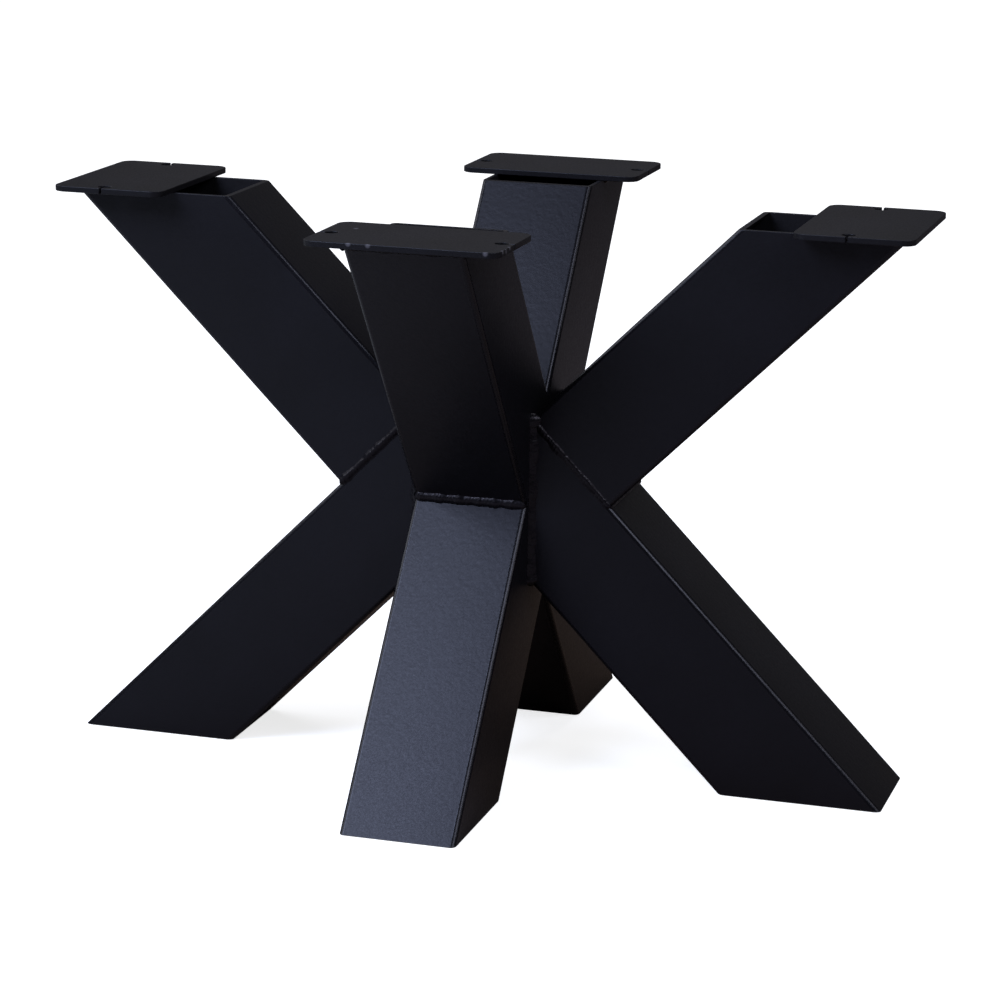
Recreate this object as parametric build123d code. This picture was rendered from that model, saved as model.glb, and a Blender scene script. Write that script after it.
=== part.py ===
from build123d import *
from math import cos, radians, sin, sqrt, tan
import os

# Spider table base: four square tube legs and four square tube arms meet in one welded crown,
# and a mounting plate sits on the cut end of each arm.
# Millimetres, Z up, floor at zero, origin on the floor under the crown. Front is -Y, right is +X.

# Square tube
tube = 80.0
wall = 3.0
corner_round = 3.5
bore_round = 1.0

# Heights above the floor
crown_height = 251.5
rim_height = 389.0

# Degrees up from the floor. The frame that runs left to right is longer than the other.
side_leg_angle = 45.3
side_arm_angle = 45.0
end_leg_angle = 51.3
end_arm_angle = 52.0

# How far above the crown line the top faces of two facing arms would meet
side_arm_rise = 0.0
end_arm_rise = 10.0

# Mounting plates, lengths across their arm
plate_length = 130.0
plate_width = 80.0
plate_thick = 4.0
plate_round = 12.0
side_plate_reach = 258.0
end_plate_reach = 169.0
hole_radius = 4.5
hole_spacing = 113.0
hole_shift = 4.0
slit_width = 2.5

# Weld beads: how far each runs out on its faces, and how far behind the corner its round is struck
seam_reach = 3.2
seam_depth = 2.4
notch_reach = 4.5
corner_reach = 5.0
rim_reach = 3.5
bead_depth = 4.0

far = 700.0
half = tube / 2


def slope_line(start, height, angle, run):
    a = radians(angle)
    return start + run * cos(a), height + run * sin(a)


def section(solid_bar):
    outside = RectangleRounded(tube, tube, corner_round)
    if solid_bar:
        return outside
    return outside - RectangleRounded(tube - 2 * wall, tube - 2 * wall, bore_round)


def bar(start, height, angle, side_outline, solid_bar):
    # The top face climbs at the angle from this start and height, and the bar hangs below it
    a = radians(angle)
    axis_point = (start + half * sin(a), 0, height - half * cos(a))
    end_plane = Plane(origin=axis_point, x_dir=(0, 1, 0), z_dir=(cos(a), 0, sin(a)))
    stock = extrude(end_plane * section(solid_bar), far, both=True)
    keep = extrude(Plane.XZ * make_face(Polyline(*side_outline, close=True)), tube, both=True)
    return stock & keep


def leg(start, angle, solid_bar=False):
    # Cut upright at the crown and level at the floor
    outline = [(start, 0), (far, 0), (far, crown_height), (start, crown_height)]
    return bar(start, crown_height, -angle, outline, solid_bar)


def arm(start, rise, leg_angle, angle, solid_bar=False):
    # Cut along the leg's top face and level at the rim
    toe = slope_line(start, crown_height, -leg_angle, far)
    outline = [(start, crown_height), toe, (toe[0], rim_height), (start, rim_height)]
    return bar(start, crown_height + rise, angle, outline, solid_bar)


def notch_run(rise, leg_angle, arm_angle):
    # Length of the arm's oblique end along the leg
    return (tube - rise * cos(radians(arm_angle))) / sin(radians(leg_angle + arm_angle))


def rim_edge(start, rise, angle):
    a = radians(angle)
    return start + (rim_height - crown_height - rise + tube / cos(a)) / tan(a)


def rod(begin, end, radius):
    line = Vector(*end) - Vector(*begin)
    foot = Plane(origin=begin, z_dir=line)
    return extrude(foot * Circle(radius), line.length)


def bead_radius(reach, depth, opening):
    # The round is struck on the bisector behind a corner that opens by this many degrees
    a = radians(opening / 2)
    return sqrt((depth + reach * cos(a)) ** 2 + (reach * sin(a)) ** 2)


def arm_weld(start, rise, leg_angle, arm_angle, clear_of_crown):
    # Lays one bead in the notch and one along each side of the joint
    run = notch_run(rise, leg_angle, arm_angle)
    notch = slope_line(start, crown_height, -leg_angle, run)
    opening = leg_angle + arm_angle
    tilt = radians((arm_angle - leg_angle) / 2)
    behind = (notch[0] - bead_depth * cos(tilt), notch[1] - bead_depth * sin(tilt))
    radius = bead_radius(notch_reach, bead_depth, opening)
    metal = rod((behind[0], -half, behind[1]), (behind[0], half, behind[1]), radius)
    seam_radius = sqrt(seam_reach ** 2 + seam_depth ** 2)
    first = slope_line(start, crown_height, -leg_angle, clear_of_crown)
    for y in (-half + seam_depth, half - seam_depth):
        metal += rod((first[0], y, first[1]), (notch[0], y, notch[1]), seam_radius)
    hollow = extrude(Plane.XZ * Rectangle(2 * far, 2 * far), half - wall, both=True)
    beyond = Pos(notch[0] + far / 2 - wall, 0, notch[1]) * Box(far, far, far)
    return metal - (hollow - beyond)


def leg_weld():
    # Runs down both upright corners beside the end frame and across below the leg
    low = crown_height - tube / cos(radians(side_leg_angle))
    radius = bead_radius(corner_reach, bead_depth, 90)
    step = bead_depth / sqrt(2)
    metal = Part()
    for side in (-1, 1):
        y = side * (half - step)
        metal += rod((half - step, y, low - corner_reach), (half - step, y, crown_height), radius)
    metal -= Pos(0, 0, low + half) * Box(far, tube - 2 * wall, far)
    a = radians((90 - side_leg_angle) / 2)
    below = (half - bead_depth * sin(a), low + bead_depth * cos(a))
    span = half + corner_reach / 2
    metal += rod((below[0], -span, below[1]), (below[0], span, below[1]),
                 bead_radius(corner_reach, bead_depth, 90 - side_leg_angle))
    return metal & (Pos(half + tube, 0, low + half) * Box(2 * tube, 2 * tube, 2 * tube))


def plate_weld(start, rise, angle, reach):
    # Runs along both sides of the arm below the plate and around the arm's outer edge
    step = bead_depth / sqrt(2)
    outer = rim_edge(start, rise, angle)
    inner = reach - plate_width / 2 + plate_round
    radius = bead_radius(rim_reach, bead_depth, 90)
    metal = Part()
    for side in (-1, 1):
        y = side * (half - step)
        z = rim_height + step
        metal += rod((inner, y, z), (outer, y, z), radius)
    a = radians((180 - angle) / 2)
    end = (outer - bead_depth * cos(a), rim_height + bead_depth * sin(a))
    metal += rod((end[0], -half, end[1]), (end[0], half, end[1]),
                 bead_radius(rim_reach, bead_depth, 180 - angle))
    return metal & (Pos(0, 0, rim_height - tube / 2) * Box(2 * far, tube + 4 * rim_reach, tube))


def plate(reach, turned):
    blank = RectangleRounded(plate_width, plate_length, plate_round)
    for side in (-1, 1):
        y = side * hole_spacing / 2
        blank -= Pos(-hole_shift, y) * Circle(hole_radius)
        blank -= Pos(-hole_shift, y + side * hole_spacing / 2) * Rectangle(slit_width, hole_spacing)
    flat = extrude(blank, plate_thick)
    if turned:
        return Pos(0, reach, rim_height) * Rot(0, 0, 90) * flat
    return Pos(reach, 0, rim_height) * flat


turns = {"right": 0, "rear": 90, "left": 180, "front": 270}
side_welds_from = 0.0
end_welds_from = (half + corner_reach) / cos(radians(end_leg_angle))

parts = {}
bodies = Part()
for place, turn in turns.items():
    on_side = place in ("right", "left")
    start = half if on_side else 0.0
    rise = side_arm_rise if on_side else end_arm_rise
    leg_angle = side_leg_angle if on_side else end_leg_angle
    arm_angle = side_arm_angle if on_side else end_arm_angle
    spin = Rot(0, 0, turn)
    parts["leg_" + place] = spin * leg(start, leg_angle)
    parts["arm_" + place] = spin * arm(start, rise, leg_angle, arm_angle)
    bodies += spin * leg(start, leg_angle, solid_bar=True)
    bodies += spin * arm(start, rise, leg_angle, arm_angle, solid_bar=True)

for place, turn in turns.items():
    on_side = place in ("right", "left")
    reach = side_plate_reach if on_side else end_plate_reach
    sign = 1 if place in ("right", "rear") else -1
    parts["plate_" + place] = plate(sign * reach, not on_side)

for place, turn in turns.items():
    on_side = place in ("right", "left")
    spin = Rot(0, 0, turn)
    if on_side:
        metal = arm_weld(half, side_arm_rise, side_leg_angle, side_arm_angle, side_welds_from)
        rim = plate_weld(half, side_arm_rise, side_arm_angle, side_plate_reach)
    else:
        metal = arm_weld(0.0, end_arm_rise, end_leg_angle, end_arm_angle, end_welds_from)
        rim = plate_weld(0.0, end_arm_rise, end_arm_angle, end_plate_reach)
    parts["weld_arm_" + place] = spin * metal - bodies
    parts["weld_plate_" + place] = spin * rim - bodies

for place in ("right", "left"):
    metal = Rot(0, 0, turns[place]) * leg_weld() - bodies
    for crossing in (place, "front", "rear"):
        metal -= parts["weld_arm_" + crossing]
    parts["weld_leg_" + place] = metal

os.makedirs("parts", exist_ok=True)
for name, shape in parts.items():
    export_step(shape, f"parts/{name}.step")
    print(name, len(shape.solids()), round(shape.volume))
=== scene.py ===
import bpy
import numpy as np
from mathutils import Matrix, Vector


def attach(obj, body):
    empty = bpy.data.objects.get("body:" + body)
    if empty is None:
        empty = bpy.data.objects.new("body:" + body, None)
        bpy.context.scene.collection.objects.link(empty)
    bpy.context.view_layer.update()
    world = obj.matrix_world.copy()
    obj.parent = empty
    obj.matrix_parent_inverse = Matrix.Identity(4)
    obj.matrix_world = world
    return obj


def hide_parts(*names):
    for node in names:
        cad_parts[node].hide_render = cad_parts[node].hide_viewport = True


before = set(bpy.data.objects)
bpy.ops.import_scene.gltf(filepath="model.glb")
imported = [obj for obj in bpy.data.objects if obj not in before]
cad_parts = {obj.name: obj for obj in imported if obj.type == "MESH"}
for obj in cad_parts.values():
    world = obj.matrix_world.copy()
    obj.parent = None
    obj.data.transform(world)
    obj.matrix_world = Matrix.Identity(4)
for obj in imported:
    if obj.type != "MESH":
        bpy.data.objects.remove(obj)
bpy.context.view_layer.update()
print("frame loaded:", len(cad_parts), "nodes")

mm = 0.001                          # all sizes are in millimetres and all angles in degrees
tube = {"width": 80.0, "wall": 3.0, "outerRound": 3.5, "innerRound": 1.0, "cornerSteps": 10,
        "edgeSoftening": 0.35}
crownHeight = 251.5
rimHeight = 389.0
sideFrame = {"start": 40.0, "rise": 0.0, "legAngle": 45.3, "armAngle": 45.0, "plateReach": 258.0}
endFrame = {"start": 0.0, "rise": 10.0, "legAngle": 51.3, "armAngle": 52.0, "plateReach": 169.0}
places = {"right": (0, sideFrame), "rear": (90, endFrame),
          "left": (180, sideFrame), "front": (270, endFrame)}
half = tube["width"] / 2


def turned(points, degrees):
    # Turns points about the upright axis and goes from millimetres to metres.
    a = np.radians(degrees)
    c, s = np.round(np.cos(a), 12), np.round(np.sin(a), 12)
    p = np.asarray(points, float)
    x, y = p[..., 0] * c - p[..., 1] * s, p[..., 0] * s + p[..., 1] * c
    return np.stack([x, y, p[..., 2]], -1) * mm


def newPiece(name, verts, faces, material, node, softening=0.0, sharpAngle=35.0, marks=None):
    # Puts a smooth shaded mesh in place of a CAD node. Its marks are face values for the finish.
    mesh = bpy.data.meshes.new(name)
    mesh.from_pydata(np.asarray(verts, float).tolist(), [], faces)
    for key, values in (marks or {}).items():
        mesh.attributes.new(key, "FLOAT", "FACE").data.foreach_set("value", values)
    mesh.validate()
    mesh.polygons.foreach_set("use_smooth", np.ones(len(mesh.polygons), bool))
    mesh.set_sharp_from_angle(angle=np.radians(sharpAngle))
    obj = bpy.data.objects.new(name, mesh)
    bpy.context.scene.collection.objects.link(obj)
    mesh.materials.append(material)
    if softening:
        bevel = obj.modifiers.new("softened edges", "BEVEL")
        bevel.width = softening * mm
        bevel.segments = 2
        bevel.limit_method = "ANGLE"
        bevel.angle_limit = np.radians(sharpAngle)
        bevel.harden_normals = True
    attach(obj, "root")
    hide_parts(node)
    return obj


def ringFaces(rows, cols, wrapRows=False):
    # Quads between neighbouring rows of a grid whose columns run round in a closed loop.
    r = np.arange(rows if wrapRows else rows - 1)[:, None]
    c = np.arange(cols)[None, :]
    here, across = r * cols + c, r * cols + (c + 1) % cols
    up, upAcross = (r + 1) % rows * cols + c, (r + 1) % rows * cols + (c + 1) % cols
    return np.stack([here, across, upAcross, up], -1).reshape(-1, 4).tolist()


def linear(hexColour):
    # The sRGB curve undone: a straight foot below 0.04045 and a power of 2.4 above it.
    v = np.array([int(hexColour[i:i + 2], 16) for i in (1, 3, 5)]) / 255
    return (*np.where(v <= 0.04045, v / 12.92, ((v + 0.055) / 1.055) ** 2.4), 1.0)


def addNode(tree, kind, settings, links=None):
    # Adds one node. A setting goes to the socket that it names or numbers, or to the node itself.
    node = tree.nodes.new(kind)
    for key, value in settings.items():
        if isinstance(key, int) or key in node.inputs:
            node.inputs[key].default_value = value
        else:
            setattr(node, key, value)
    for key, source in (links or {}).items():
        tree.links.new(node.inputs[key], source)
    return node


# Bore is the colour on faces marked as a tube's inside or a drilled hole's wall. On a hole's wall it
# is painted shade.
powderCoat = {"dark": "#0B0A0D", "light": "#0E0D11", "cloudSize": 60.0, "grain": 1.1,
              "orangePeel": 3.6, "roughLow": 0.36, "roughHigh": 0.46, "cornerRough": 0.65,
              "specular": 0.25, "tint": "#F3F3FF", "grainBump": 0.10, "peelBump": 0.26,
              "bore": "#171618"}
plateCoat = {"dark": "#0C0B0D", "light": "#100F12", "cloudSize": 45.0, "grain": 1.1,
             "orangePeel": 4.0, "roughLow": 0.38, "roughHigh": 0.48, "cornerRough": 1.0,
             "specular": 0.25, "tint": "#F4F4FF", "grainBump": 0.07, "peelBump": 0.10,
             "bore": "#050506"}
beadCoat = {"dark": "#0B0A0D", "light": "#100F13", "cloudSize": 8.0, "grain": 1.6,
            "orangePeel": 2.6, "roughLow": 0.24, "roughHigh": 0.38, "cornerRough": 1.0,
            "specular": 0.20, "tint": "#F8EEF6", "grainBump": 0.20, "peelBump": 0.55}
pattern = {"cloudRange": (0.35, 0.65), "grainRange": (0.3, 0.7),   # the share of each noise in use
           "peelDepth": 0.4, "grainDepth": 0.2}
# Pale spots: powder nibs on the plate tops, and painted highlights on the plate edges.
nibsAndGlints = {"colour": "#4C4A4F", "size": 1.5, "fadeFrom": 1.4, "fadeTo": 0.6,
        "places": [(-33.0, -209.0, 392.6), (-20.0, -209.0, 392.5), (-46.5, -154.3, 393.0),
                   (56.5, -209.0, 392.2), (65.0, -199.0, 392.4), (65.0, -192.0, 391.6),
                   (65.0, -184.0, 392.5), (220.5, -66.0, 392.6)]}


def bakedCoat(name, look):
    # Polyester powder baked on steel: a satin black skin with a fine grain and a soft orange peel.
    # It runs thinner over rounded corners and shines a little more there.
    # The real grain is about 0.3 mm. It is drawn over a millimetre wide so that it shows.
    material = bpy.data.materials.new(name)
    material.use_nodes = True
    tree = material.node_tree
    tree.nodes.clear()
    point = addNode(tree, "ShaderNodeTexCoord", {}).outputs["Object"]
    cloud = addNode(tree, "ShaderNodeTexNoise",
                    {"Scale": 1 / (look["cloudSize"] * mm), "Detail": 3.0}, {"Vector": point})
    colour = addNode(tree, "ShaderNodeValToRGB", {}, {"Fac": cloud.outputs["Fac"]})
    for i, shade in enumerate(("dark", "light")):
        colour.color_ramp.elements[i].position = pattern["cloudRange"][i]
        colour.color_ramp.elements[i].color = linear(look[shade])
    grain = addNode(tree, "ShaderNodeTexNoise",
                    {"Scale": 1 / (look["grain"] * mm), "Detail": 2.0}, {"Vector": point})
    peel = addNode(tree, "ShaderNodeTexNoise",
                   {"Scale": 1 / (look["orangePeel"] * mm), "Detail": 1.0}, {"Vector": point})
    rough = addNode(tree, "ShaderNodeMapRange",
                    {"To Min": look["roughLow"], "To Max": look["roughHigh"],
                     "From Min": pattern["grainRange"][0], "From Max": pattern["grainRange"][1]},
                    {"Value": grain.outputs["Fac"]})
    skin = colour.outputs["Color"]
    if "bore" in look:
        # A tube's inside is coloured paler than its skin. A drilled hole's wall is painted darker, as
        # painted shade in the deep hole.
        bore = addNode(tree, "ShaderNodeAttribute", {"attribute_name": "bore"})
        inside = addNode(tree, "ShaderNodeMix", {"data_type": "RGBA", 7: linear(look["bore"])},
                         {"Factor": bore.outputs["Fac"], 6: skin})
        skin = inside.outputs[2]
    if look is plateCoat:
        # Pale spots on the plates: nibs where powder gathered on the top, and painted highlights on
        # the edges.
        for paleSpotPlace in nibsAndGlints["places"]:
            away = addNode(tree, "ShaderNodeVectorMath",
                           {"operation": "DISTANCE", 1: np.array(paleSpotPlace) * mm}, {0: point})
            paleSpotMask = addNode(tree, "ShaderNodeMapRange",
                          {"From Min": nibsAndGlints["size"] * nibsAndGlints["fadeFrom"] * mm,
                           "From Max": nibsAndGlints["size"] * nibsAndGlints["fadeTo"] * mm},
                          {"Value": away.outputs["Value"]})
            pale = addNode(tree, "ShaderNodeMix", {"data_type": "RGBA", 7: linear(nibsAndGlints["colour"])},
                           {"Factor": paleSpotMask.outputs["Result"], 6: skin})
            skin = pale.outputs[2]
    corner = addNode(tree, "ShaderNodeAttribute", {"attribute_name": "corner"})
    smoother = addNode(tree, "ShaderNodeMapRange", {"To Min": 1.0, "To Max": look["cornerRough"]},
                       {"Value": corner.outputs["Fac"]})
    finish = addNode(tree, "ShaderNodeMath", {"operation": "MULTIPLY"},
                     {0: rough.outputs["Result"], 1: smoother.outputs["Result"]})
    wave = addNode(tree, "ShaderNodeBump",
                   {"Strength": look["peelBump"], "Distance": pattern["peelDepth"] * mm},
                   {"Height": peel.outputs["Fac"]})
    fine = addNode(tree, "ShaderNodeBump",
                   {"Strength": look["grainBump"], "Distance": pattern["grainDepth"] * mm},
                   {"Height": grain.outputs["Fac"], "Normal": wave.outputs["Normal"]})
    shader = addNode(tree, "ShaderNodeBsdfPrincipled",
                     {"IOR": 1.5, "Specular IOR Level": look["specular"],
                      "Specular Tint": linear(look["tint"])},
                     {"Base Color": skin, "Roughness": finish.outputs["Value"],
                      "Normal": fine.outputs["Normal"]})
    addNode(tree, "ShaderNodeOutputMaterial", {}, {"Surface": shader.outputs["BSDF"]})
    return material


tubeBlack = bakedCoat("black polyester powder baked on steel tube", powderCoat)
plateBlack = bakedCoat("black polyester powder baked on sheet steel", plateCoat)
beadBlack = bakedCoat("black polyester powder baked over weld metal", beadCoat)
print("finishes made")


def squareLoop(width, roundness, inset, steps, crease):
    # Points round a square with rounded corners: across from -half to half, and down from the top
    # face. The sides get one more point each at the depth of the crease, where an arm's cut turns.
    a = np.linspace(0, np.pi / 2, steps + 1)
    arc = np.stack([np.cos(a), np.sin(a)], -1) * roundness
    middle = width / 2 - roundness
    arcs = [arc + [middle, middle], arc[::-1] * [-1, 1] + [-middle, middle],
            -arc - [middle, middle], arc[::-1] * [1, -1] + [middle, -middle]]
    level = width / 2 + inset - crease
    if crease > inset + roundness:
        arcs.insert(2, [[-width / 2, level]])
        arcs.insert(0, [[width / 2, level]])
    loop = np.concatenate(arcs)
    loop[:, 1] -= width / 2 + inset
    return loop


def tubeMesh(origin, angle, startCuts, endCut, crease):
    # Carries the rounded square along a straight line. Each line of the wall starts at the last of
    # the starting planes that it meets and stops at the end plane.
    a = np.radians(angle)
    along, up = np.array([np.cos(a), np.sin(a)]), np.array([-np.sin(a), np.cos(a)])
    outer = squareLoop(tube["width"], tube["outerRound"], 0.0, tube["cornerSteps"], crease)
    inner = squareLoop(tube["width"] - 2 * tube["wall"], tube["innerRound"], tube["wall"],
                       tube["cornerSteps"], crease)
    rings = []
    for loop in (outer, inner):
        foot = np.array(origin) + loop[:, 1:2] * up

        def reach(spot, normal):
            return (np.array(spot) - foot) @ np.array(normal) / (along @ np.array(normal))

        first = np.max([reach(*cut) for cut in startCuts], 0)
        last = reach(*endCut)
        for t in (first, last):
            p = foot + t[:, None] * along
            rings.append(np.stack([p[:, 0], loop[:, 0], p[:, 1]], -1))
    # The rings go out along the skin and back along the bore, so the rows of faces are the skin, the
    # far end, the bore and the near end.
    rings = [rings[0], rings[1], rings[3], rings[2]]
    step = np.linalg.norm(np.roll(outer, -1, 0) - outer, axis=1)
    marks = {"corner": np.tile(step < tube["outerRound"] / 2, 4).astype(float),
             "bore": np.repeat([0.0, 0.0, 1.0, 0.0], len(outer))}
    return np.concatenate(rings), ringFaces(4, len(outer), wrapRows=True), marks


for place, (turn, f) in places.items():
    legRad, armRad = np.radians(f["legAngle"]), np.radians(f["armAngle"])
    crownLine = (f["start"], crownHeight)
    upright = (crownLine, (1.0, 0.0))
    onLeg = (crownLine, (np.sin(legRad), np.cos(legRad)))
    verts, faces, marks = tubeMesh(crownLine, -f["legAngle"], [upright], ((0, 0), (0.0, 1.0)), 0.0)
    newPiece("lower_leg_" + place, turned(verts, turn), faces, tubeBlack, "leg_" + place,
             tube["edgeSoftening"], marks=marks)
    verts, faces, marks = tubeMesh((f["start"], crownHeight + f["rise"]), f["armAngle"],
                                   [upright, onLeg], ((0, rimHeight), (0.0, 1.0)),
                                   f["rise"] * np.cos(armRad))
    newPiece("upper_arm_" + place, turned(verts, turn), faces, tubeBlack, "arm_" + place,
             tube["edgeSoftening"], marks=marks)
print("tubes made")


plate = {"length": 130.0, "width": 80.0, "thickness": 4.0, "cornerRound": 9.0, "cornerPoints": 13,
         "holeRadius": 4.5, "holePoints": 41, "holeSpacing": 113.0, "holeShift": 4.0,
         "slitWidth": 1.5, "edgeSoftening": 0.5, "holeTolerance": 0.01}


def plateOutline():
    # One closed line: quarter circles at the corners, and at each short end a slit that leads into
    # a round hole.
    r = plate["cornerRound"]
    a = np.linspace(0, np.pi / 2, plate["cornerPoints"])[:, None]
    corner = np.hstack([np.cos(a), np.sin(a)]) * r
    corner = corner + [plate["width"] / 2 - r, plate["length"] / 2 - r]
    turn = np.arcsin(plate["slitWidth"] / 2 / plate["holeRadius"])
    b = np.linspace(np.pi / 2 - turn, -1.5 * np.pi + turn, plate["holePoints"])[:, None]
    hole = np.hstack([np.cos(b), np.sin(b)]) * plate["holeRadius"]
    hole = hole + [-plate["holeShift"], plate["holeSpacing"] / 2]
    mouth = np.array([[plate["slitWidth"] / 2, 0], [-plate["slitWidth"] / 2, 0]])
    mouth += [-plate["holeShift"], plate["length"] / 2]
    farEnd = np.vstack([corner, mouth[:1], hole, mouth[1:], corner[::-1] * [-1, 1]])
    return np.vstack([farEnd, farEnd[::-1] * [1, -1]])


outline = plateOutline()
count = len(outline)
fromHole = np.hypot(outline[:, 0] + plate["holeShift"],
                    np.abs(outline[:, 1]) - plate["holeSpacing"] / 2) - plate["holeRadius"]
onHole = np.abs(fromHole) < plate["holeTolerance"]
# The hole's wall faces are marked to take the painted shade.
marks = {"bore": np.concatenate([onHole & np.roll(onHole, -1), [False, False]]).astype(float)}
for place, (turn, f) in places.items():
    sign = 1 if place in ("right", "rear") else -1
    onSide = f is sideFrame
    low = np.column_stack([outline, np.full(count, rimHeight)])
    high = low + [0, 0, plate["thickness"]]
    verts = turned(np.vstack([low, high]), 0 if onSide else 90)
    verts[:, 0 if onSide else 1] += sign * f["plateReach"] * mm
    faces = ringFaces(2, count) + [list(range(count))[::-1], list(range(count, 2 * count))]
    newPiece("mounting_plate_" + place, verts, faces, plateBlack, "plate_" + place,
             plate["edgeSoftening"], marks=marks)
print("plates made")


# Reaches and bulges of each bead: how far it lies on its two faces, and how high it stands.
bead = {"pitch": 2.6, "ripple": 0.16, "rippleMean": 0.64, "across": 14, "step": 0.5, "heel": 0.5,
        "lump": 0.28, "lumpEvery": 14.0, "crescent": 1.6, "pitchWander": 0.8, "pitchEvery": 9.0,
        "depthWander": 1.6, "depthEvery": 11.0, "edgeWander": (0.14, 0.10), "edgeEvery": 5.0,
        "endTaper": 1.6, "endFloor": 0.0004, "blobReach": 5.0, "sharpAngle": 60,
        "waves": 6, "waveSpread": (0.6, 2.6)}
notchBead = {"side": (1.3, 1.5, 0.3), "end": (3.4, 5.0, 1.2), "inset": 0.3}
seamBead = {"left": (2.9, 3.0, 1.7), "right": (1.6, 3.6, 0.95), "front": (1.8, 3.8, 0.9),
            "rear": (1.8, 3.8, 0.9), "ridge": 0.31, "toe": 1.3, "clearOfSide": 5.0,
            "clearOfCrown": 3.0}
cornerBead = {"onEnd": 3.2, "onSide": 4.6, "bulge": 0.4, "endBlob": 0.45, "above": 4.0,
              "below": 3.0}
rimBead = {"reach": 3.0, "bulge": 0.5, "underPlate": 6.0, "inset": 2.0}
seeds = {"arm": 100, "plate": 400, "leg": 700, "apart": 40}


def unevenness(s, seed, scale):
    # Smooth seeded wander along a bead: a few sine waves with chance phases.
    rng = np.random.default_rng(seed)
    waves = 2 * np.pi / (scale * rng.uniform(*bead["waveSpread"], bead["waves"]))
    phases = rng.uniform(0, 2 * np.pi, bead["waves"])
    return np.sin(s[:, None] * waves + phases).sum(1) / bead["waves"]


def beadRun(begin, end, sideA, sideB, reachA, reachB, bulge, seed, blob=0.0, toe=1.0, ridge=0.5):
    # A bead between two faces: a half wave of sine, raised to the power toe, from one face to the
    # other, carried from begin to end. Its ridge stands at the given share of its width. Crescent
    # ripples follow each other along it, its size wanders, and its ends taper in a quarter circle.
    begin, end = np.array(begin, float), np.array(end, float)
    sideA, sideB = np.array(sideA, float), np.array(sideB, float)
    length = np.linalg.norm(end - begin)
    s = np.linspace(0, length, int(length / bead["step"]) + 2)
    swell = 1 + bead["lump"] * unevenness(s, seed, bead["lumpEvery"])
    r = bead["blobReach"]
    swell += blob * (np.exp(-((s - r) / r) ** 2) + np.exp(-((length - r - s) / r) ** 2))
    nearEnd = np.minimum(s, length - s) / (reachA + reachB)
    close = 1 - (1 - np.clip(nearEnd * bead["endTaper"], 0, 1)) ** 2
    close = np.sqrt(np.clip(close, bead["endFloor"], 1))
    v = np.linspace(0, 1, bead["across"])[None, :]
    crest = np.clip(np.sin(np.pi * np.interp(v, [0, ridge, 1], [0, 0.5, 1])), 0, 1) ** toe
    wander = bead["pitchWander"] * unevenness(s, seed + 1, bead["pitchEvery"])[:, None]
    phase = (s[:, None] + bead["crescent"] * crest + wander) / bead["pitch"]
    depth = 1 + bead["depthWander"] * unevenness(s, seed + 4, bead["depthEvery"])
    depth = bead["ripple"] * depth[:, None]
    ripple = depth * (np.abs(np.sin(np.pi * phase)) - bead["rippleMean"]) * crest
    wanderA = 1 + bead["edgeWander"][0] * unevenness(s, seed + 2, bead["edgeEvery"])
    wanderB = 1 + bead["edgeWander"][1] * unevenness(s, seed + 3, bead["edgeEvery"])
    toeA = (reachA * swell * close * wanderA)[:, None, None] * sideA
    toeB = (reachB * swell * close * wanderB)[:, None, None] * sideB
    bisector = sideA + sideB
    if np.linalg.norm(bisector) < 1e-6:        # both sides lie in one face, and the bead stands on it
        bisector = np.cross(end - begin, sideA)
        bisector *= np.sign(bisector[1] * begin[1])
    bisector /= np.linalg.norm(bisector)
    w = v[..., None]
    height = (bulge * swell * close)[:, None] * crest + ripple * close[:, None]
    line = begin + (s / length)[:, None] * (end - begin)
    skin = line[:, None] + toeA * (1 - w) + toeB * w + height[..., None] * bisector
    heel = line[:, None] - bisector * bead["heel"] + np.zeros((len(s), 1, 3))
    return np.concatenate([skin, heel], 1)


def beadMesh(runs):
    # Joins runs of rings into one mesh. Each run is a closed tube with both ends closed by a face.
    verts, faces, base = [], [], 0
    for rows in runs:
        n, m = rows.shape[:2]
        caps = [list(range(m))[::-1], list(range((n - 1) * m, n * m))]
        faces += [[i + base for i in face] for face in ringFaces(n, m) + caps]
        verts.append(rows.reshape(-1, 3))
        base += n * m
    return np.vstack(verts), faces


def armWeld(f, seam, seed):
    # One run across the notch, and one up each side where the arm's cut end stands on the leg.
    leg, arm = np.radians(f["legAngle"]), np.radians(f["armAngle"])
    run = (tube["width"] - f["rise"] * np.cos(arm)) / np.sin(leg + arm)
    downLeg = np.array([np.cos(leg), 0, -np.sin(leg)])
    upArm = np.array([np.cos(arm), 0, np.sin(arm)])
    crown = np.array([f["start"], 0, crownHeight])
    notch = crown + run * downLeg
    across = np.array([0, half - notchBead["inset"], 0])
    runs = [beadRun(notch - across, notch + across, downLeg, upArm,
                    *notchBead["end" if f is endFrame else "side"], seed)]
    clear = seamBead["clearOfCrown"]
    if f is endFrame:
        clear = (half + seamBead["clearOfSide"] - f["start"]) / np.cos(leg)
    normalUp = np.array([np.sin(leg), 0, np.cos(leg)])
    for side in (-1, 1):
        edge = np.array([0, side * half, 0])
        runs.append(beadRun(crown + clear * downLeg + edge, notch + edge, normalUp, -normalUp,
                            *seam, seed + 10 + side, toe=seamBead["toe"], ridge=seamBead["ridge"]))
    return runs


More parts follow.
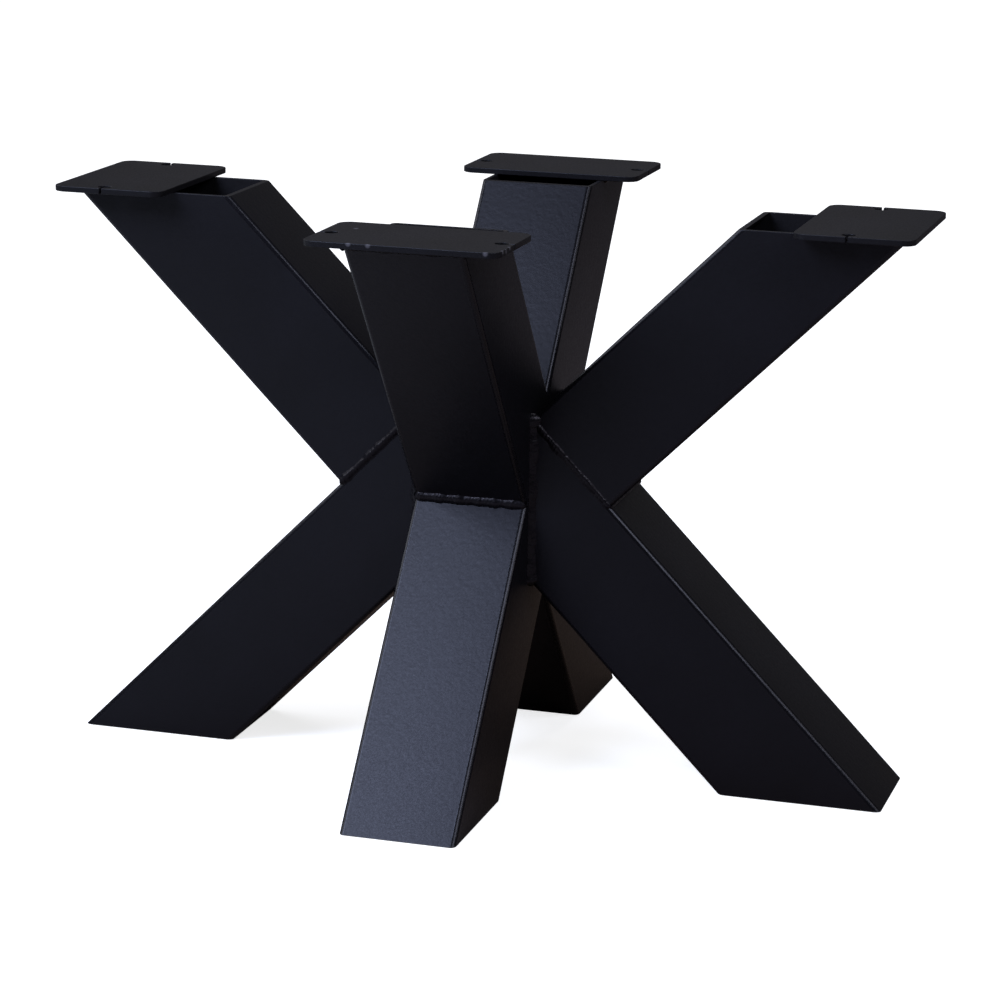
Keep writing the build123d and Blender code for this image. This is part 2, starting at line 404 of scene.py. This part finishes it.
def legWeld(seed):
    # Down both upright corners where a side leg's cut end meets the end frame, and across below it.
    leg = np.radians(sideFrame["legAngle"])
    low = crownHeight - tube["width"] / np.cos(leg)
    runs = []
    for side in (-1, 1):
        top = np.array([half, side * half, crownHeight + cornerBead["above"]])
        foot = np.array([half, side * half, low - cornerBead["below"]])
        runs.append(beadRun(foot, top, (0, side, 0), (1, 0, 0), cornerBead["onEnd"],
                            cornerBead["onSide"], cornerBead["bulge"], seed + side,
                            blob=cornerBead["endBlob"]))
    under = np.array([np.cos(leg), 0, -np.sin(leg)])
    runs.append(beadRun((half, -half, low), (half, half, low), (0, 0, -1), under,
                        cornerBead["onSide"], cornerBead["onSide"], cornerBead["bulge"], seed + 5))
    return runs


def plateWeld(f, seed):
    # Along both sides of the arm below its plate, and across the arm's outer edge.
    arm = np.radians(f["armAngle"])
    climb = rimHeight - crownHeight - f["rise"] + tube["width"] / np.cos(arm)
    outer = f["start"] + climb / np.tan(arm)
    inner = f["plateReach"] - plate["width"] / 2 + rimBead["underPlate"]
    reach, bulge = rimBead["reach"], rimBead["bulge"]
    runs = []
    for side in (-1, 1):
        runs.append(beadRun((inner, side * half, rimHeight), (outer, side * half, rimHeight),
                            (0, side, 0), (0, 0, -1), reach, reach, bulge, seed + side))
    down = np.array([-np.cos(arm), 0, -np.sin(arm)])
    across = half - rimBead["inset"]
    runs.append(beadRun((outer, -across, rimHeight), (outer, across, rimHeight), (1, 0, 0), down,
                        reach, reach, bulge, seed + 4))
    return runs


for number, (place, (turn, f)) in enumerate(places.items()):
    more = seeds["apart"] * number
    welds = {"arm": armWeld(f, seamBead[place], seeds["arm"] + more),
             "plate": plateWeld(f, seeds["plate"] + more)}
    if f is sideFrame:
        welds["leg"] = legWeld(seeds["leg"] + more)
    for kind, runs in welds.items():
        verts, faces = beadMesh(runs)
        newPiece(kind + "_bead_" + place, turned(verts, turn), faces, beadBlack,
                 "weld_" + kind + "_" + place, sharpAngle=bead["sharpAngle"])
print("beads made")


# The room and its floor, in metres. Glow and the paper behind fade with distance, the sides along X.
studio = {"floorSize": 60.0, "floorDrop": 0.0004, "worldStrength": 0.04, "whitePaper": 0.9,
          "nearGlow": 0.78, "farGlow": 1.0, "glowFrom": 0.5, "glowTo": 2.5,
          "paperBehind": "#826F61", "paperLeft": "#B0B0AC", "paperRight": "#948A88",
          "leftEnds": -0.6, "rightBegins": 0.1,
          "behindPlace": (0.1, 0.3, 0.0), "behindEnds": 0.36, "sidesBegin": 0.54}
# The soft boxes: degrees round from the front and up from the floor, and metres from the object.
lamps = {"key": {"azimuth": 330, "elevation": 42, "distance": 2.4, "size": (1.2, 1.2),
                 "watts": 58.0, "colour": "#D3E0FF"},
         "corner": {"azimuth": 62, "elevation": 42, "distance": 2.4, "size": (1.2, 0.9),
                    "watts": 21.0, "colour": "#E8EEFF"},
         "right": {"azimuth": 94, "elevation": 27, "distance": 2.4, "size": (0.7, 0.6),
                   "watts": 3.6, "colour": "#FAF8FF"},
         "left": {"azimuth": 282, "elevation": 32, "distance": 2.4, "size": (2.1, 1.1),
                  "watts": 22.0, "colour": "#F0F5FF"},
         "back": {"azimuth": 180, "elevation": 66, "distance": 2.6, "size": (1.2, 1.2),
                  "watts": 10.0, "colour": "#F4F6FF"},
         "wallRight": {"azimuth": 165, "elevation": 15, "distance": 2.6, "size": (1.2, 1.2),
                       "watts": 0.36, "colour": "#FAF6FF"},
         "wallMiddle": {"azimuth": 196, "elevation": 16, "distance": 2.6, "size": (1.2, 1.2),
                        "watts": 0.44, "colour": "#FAF6FF"},
         "wallLeft": {"azimuth": 230, "elevation": 15, "distance": 2.6, "size": (1.2, 1.2),
                      "watts": 2.8, "colour": "#FAF6FF"}}
lampAim = np.array([0.0, 0.0, 0.2])
view = {"azimuth": 16.5, "elevation": 14.05, "roll": 1.0, "distance": 2.337, "lens": 121.39,
        "sensor": 36.0, "farthest": 200.0, "target": (0.00636, 0.00188, 0.1821)}

floorMesh = bpy.data.meshes.new("floor")
edge, level = studio["floorSize"] / 2, -studio["floorDrop"]
floorMesh.from_pydata([(-edge, -edge, level), (edge, -edge, level), (edge, edge, level),
                       (-edge, edge, level)], [], [(0, 1, 2, 3)])
floor = bpy.data.objects.new("floor", floorMesh)
bpy.context.scene.collection.objects.link(floor)
floorPaint = bpy.data.materials.new("matt white studio floor")
floorPaint.use_nodes = True
tree = floorPaint.node_tree
tree.nodes.clear()
# The camera sees white paper that keeps the object's shadow. Other rays see it as it is lit: paler
# to the left and warmer behind the object.
path = addNode(tree, "ShaderNodeLightPath", {})
point = addNode(tree, "ShaderNodeTexCoord", {}).outputs["Object"]
away = addNode(tree, "ShaderNodeVectorMath", {"operation": "LENGTH"}, {0: point})
fade = addNode(tree, "ShaderNodeMapRange",
               {"From Min": studio["glowFrom"], "From Max": studio["glowTo"],
                "To Min": studio["nearGlow"], "To Max": studio["farGlow"]},
               {"Value": away.outputs["Value"]})
glow = addNode(tree, "ShaderNodeEmission", {"Color": (1, 1, 1, 1)},
               {"Strength": fade.outputs["Result"]})
whitePaper = addNode(tree, "ShaderNodeBsdfDiffuse", {"Color": (*[studio["whitePaper"]] * 3, 1)})
split = addNode(tree, "ShaderNodeSeparateXYZ", {}, {0: point})
across = addNode(tree, "ShaderNodeMapRange",
                 {"From Min": studio["leftEnds"], "From Max": studio["rightBegins"]},
                 {"Value": split.outputs["X"]})
sides = addNode(tree, "ShaderNodeMix",
                {"data_type": "RGBA", 6: linear(studio["paperLeft"]),
                 7: linear(studio["paperRight"])},
                {"Factor": across.outputs["Result"]})
behind = addNode(tree, "ShaderNodeVectorMath",
                 {"operation": "DISTANCE", 1: studio["behindPlace"]}, {0: point})
warm = addNode(tree, "ShaderNodeMapRange",
               {"From Min": studio["behindEnds"], "From Max": studio["sidesBegin"]},
               {"Value": behind.outputs["Value"]})
paperColour = addNode(tree, "ShaderNodeMix",
                      {"data_type": "RGBA", 6: linear(studio["paperBehind"])},
                      {"Factor": warm.outputs["Result"], 7: sides.outputs[2]})
paper = addNode(tree, "ShaderNodeBsdfDiffuse", {}, {"Color": paperColour.outputs[2]})
both = addNode(tree, "ShaderNodeAddShader", {},
               {0: whitePaper.outputs["BSDF"], 1: glow.outputs["Emission"]})
pick = addNode(tree, "ShaderNodeMixShader", {},
               {"Fac": path.outputs["Is Camera Ray"], 1: paper.outputs["BSDF"],
                2: both.outputs["Shader"]})
addNode(tree, "ShaderNodeOutputMaterial", {}, {"Surface": pick.outputs["Shader"]})
floorMesh.materials.append(floorPaint)

world = bpy.data.worlds.new("soft studio")
bpy.context.scene.world = world
world.use_nodes = True
tree = world.node_tree
tree.nodes.clear()
# The camera sees a white background, and the object is lit by a dim room.
path = addNode(tree, "ShaderNodeLightPath", {})
room = addNode(tree, "ShaderNodeBackground",
               {"Color": (1, 1, 1, 1), "Strength": studio["worldStrength"]})
white = addNode(tree, "ShaderNodeBackground", {"Color": (1, 1, 1, 1), "Strength": 1.0})
pick = addNode(tree, "ShaderNodeMixShader", {},
               {"Fac": path.outputs["Is Camera Ray"], 1: room.outputs["Background"],
                2: white.outputs["Background"]})
addNode(tree, "ShaderNodeOutputWorld", {}, {"Surface": pick.outputs["Shader"]})


def towards(azimuth, elevation):
    # Unit vector: sine and minus cosine of the azimuth, both times the cosine of the elevation, and
    # the sine of the elevation.
    az, el = np.radians([azimuth, elevation])
    return np.array([np.sin(az) * np.cos(el), -np.cos(az) * np.cos(el), np.sin(el)])


for name, lamp in lamps.items():
    light = bpy.data.lights.new(name + " softbox", "AREA")
    light.shape = "RECTANGLE"
    light.size, light.size_y = lamp["size"]
    light.energy = lamp["watts"]
    light.color = linear(lamp["colour"])[:3]
    box = bpy.data.objects.new(name + " softbox", light)
    outwards = towards(lamp["azimuth"], lamp["elevation"])
    box.location = lampAim + lamp["distance"] * outwards
    box.rotation_euler = Vector(-outwards).to_track_quat("-Z", "Y").to_euler()
    bpy.context.scene.collection.objects.link(box)

az, roll = np.radians([view["azimuth"], view["roll"]])
backward = towards(view["azimuth"], view["elevation"])
rightward = np.array([np.cos(az), np.sin(az), 0.0])
upward = np.cross(backward, rightward)
columns = [rightward * np.cos(roll) + upward * np.sin(roll),
           upward * np.cos(roll) - rightward * np.sin(roll), backward]
lens = bpy.data.cameras.new("camera")
lens.lens = view["lens"]
lens.sensor_width = view["sensor"]
lens.sensor_fit = "HORIZONTAL"
lens.clip_end = view["farthest"]
camera = bpy.data.objects.new("camera", lens)
pose = Matrix.Identity(4)
for i, column in enumerate(columns):
    pose.col[i].xyz = column
pose.col[3].xyz = np.array(view["target"]) + view["distance"] * backward
camera.matrix_world = pose
bpy.context.scene.collection.objects.link(camera)
bpy.context.scene.camera = camera
bpy.context.scene.view_settings.view_transform = "Standard"
print("studio set")
